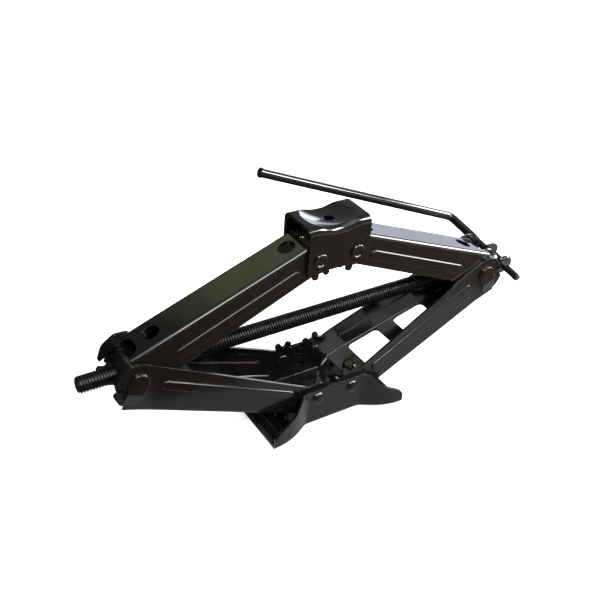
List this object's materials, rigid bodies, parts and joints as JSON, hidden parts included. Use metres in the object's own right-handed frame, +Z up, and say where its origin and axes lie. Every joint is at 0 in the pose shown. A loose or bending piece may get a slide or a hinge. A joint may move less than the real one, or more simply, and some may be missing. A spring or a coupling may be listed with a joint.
{
  "type": "scissor jack",
  "caption": "Pressed-steel scissor jack with gear-toothed channel arms, flared base, dished saddle, lead screw and folding crank handle.",
  "frame": {"origin": "centre of the base plate's underside, on the ground", "axes": "+X along the lead screw towards the crank end, +Y towards the rear wall, +Z up"},
  "size_m": [0.4349, 0.1598, 0.1911],
  "materials": {
    "black_paint": "gloss black paint on pressed steel",
    "dark_steel": "oiled dark steel"
  },
  "bodies": {
    "base": {"base_plate": "black_paint", "base_rivet_front_left": "black_paint", "base_rivet_front_right": "black_paint", "base_rivet_rear_left": "black_paint", "base_rivet_rear_right": "black_paint"},
    "lower_left": {"lower_arm_left": "black_paint"},
    "upper_left": {"upper_arm_left": "black_paint"},
    "saddle": {"saddle_cap": "black_paint", "saddle_rivet_front_left": "black_paint", "saddle_rivet_front_right": "black_paint", "saddle_rivet_rear_left": "black_paint", "saddle_rivet_rear_right": "black_paint"},
    "nut": {"trunnion_nut": "black_paint"},
    "lower_right": {"lower_arm_right": "black_paint"},
    "upper_right": {"upper_arm_right": "black_paint"},
    "block": {"trunnion_block": "black_paint", "fixed_race": "dark_steel"},
    "screw": {"lead_screw": "dark_steel", "screw_collar": "dark_steel", "collar_pin": "dark_steel", "turning_race": "dark_steel", "screw_yoke": "black_paint"},
    "cage": {"ball_cage": "dark_steel", "thrust_balls": "dark_steel"},
    "handle": {"crank_handle": "black_paint"}
  },
  "joints": [
    {"name": "lift", "type": "hinge", "parent": "base", "child": "lower_left", "pos_m": [-0.018, 0, 0.028], "axis": [0, 1, 0], "range_deg": [-15.8, 39.2]},
    {"name": "left_trunnion_fold", "type": "hinge", "parent": "lower_left", "child": "upper_left", "pos_m": [-0.1761, 0, 0.09446], "axis": [0, 1, 0], "range_deg": [-78.4, 31.6]},
    {"name": "saddle_level", "type": "hinge", "parent": "upper_left", "child": "saddle", "pos_m": [-0.018, 0, 0.16092], "axis": [0, 1, 0], "range_deg": [-15.8, 39.2]},
    {"name": "nut_level", "type": "hinge", "parent": "lower_left", "child": "nut", "pos_m": [-0.1761, 0, 0.09446], "axis": [0, 1, 0], "range_deg": [-39.2, 15.8]},
    {"name": "right_lower_swing", "type": "hinge", "parent": "base", "child": "lower_right", "pos_m": [0.018, 0, 0.028], "axis": [0, 1, 0], "range_deg": [-39.2, 15.8]},
    {"name": "right_trunnion_fold", "type": "hinge", "parent": "lower_right", "child": "upper_right", "pos_m": [0.1761, 0, 0.09446], "axis": [0, 1, 0], "range_deg": [-31.6, 78.4]},
    {"name": "block_level", "type": "hinge", "parent": "lower_right", "child": "block", "pos_m": [0.1761, 0, 0.09446], "axis": [0, 1, 0], "range_deg": [-15.8, 39.2]},
    {"name": "screw_spin", "type": "hinge", "parent": "block", "child": "screw", "pos_m": [0.1761, 0, 0.09446], "axis": [1, 0, 0], "continuous": true},
    {"name": "cage_spin", "type": "hinge", "parent": "block", "child": "cage", "pos_m": [0.1761, 0, 0.09446], "axis": [1, 0, 0], "continuous": true},
    {"name": "handle_swing", "type": "hinge", "parent": "screw", "child": "handle", "pos_m": [0.2064, 0, 0.09446], "axis": [0, 0.9866, 0.1633], "range_deg": [0, 150]}
  ],
  "couplings": [
    {"joint": "left_trunnion_fold", "follows": "lift", "ratio": -2},
    {"joint": "saddle_level", "follows": "lift", "ratio": 1},
    {"joint": "nut_level", "follows": "lift", "ratio": -1},
    {"joint": "right_lower_swing", "follows": "lift", "ratio": -1},
    {"joint": "right_trunnion_fold", "follows": "lift", "ratio": 2},
    {"joint": "block_level", "follows": "lift", "ratio": 1},
    {"joint": "cage_spin", "follows": "screw_spin", "ratio": 0.5}
  ]
}
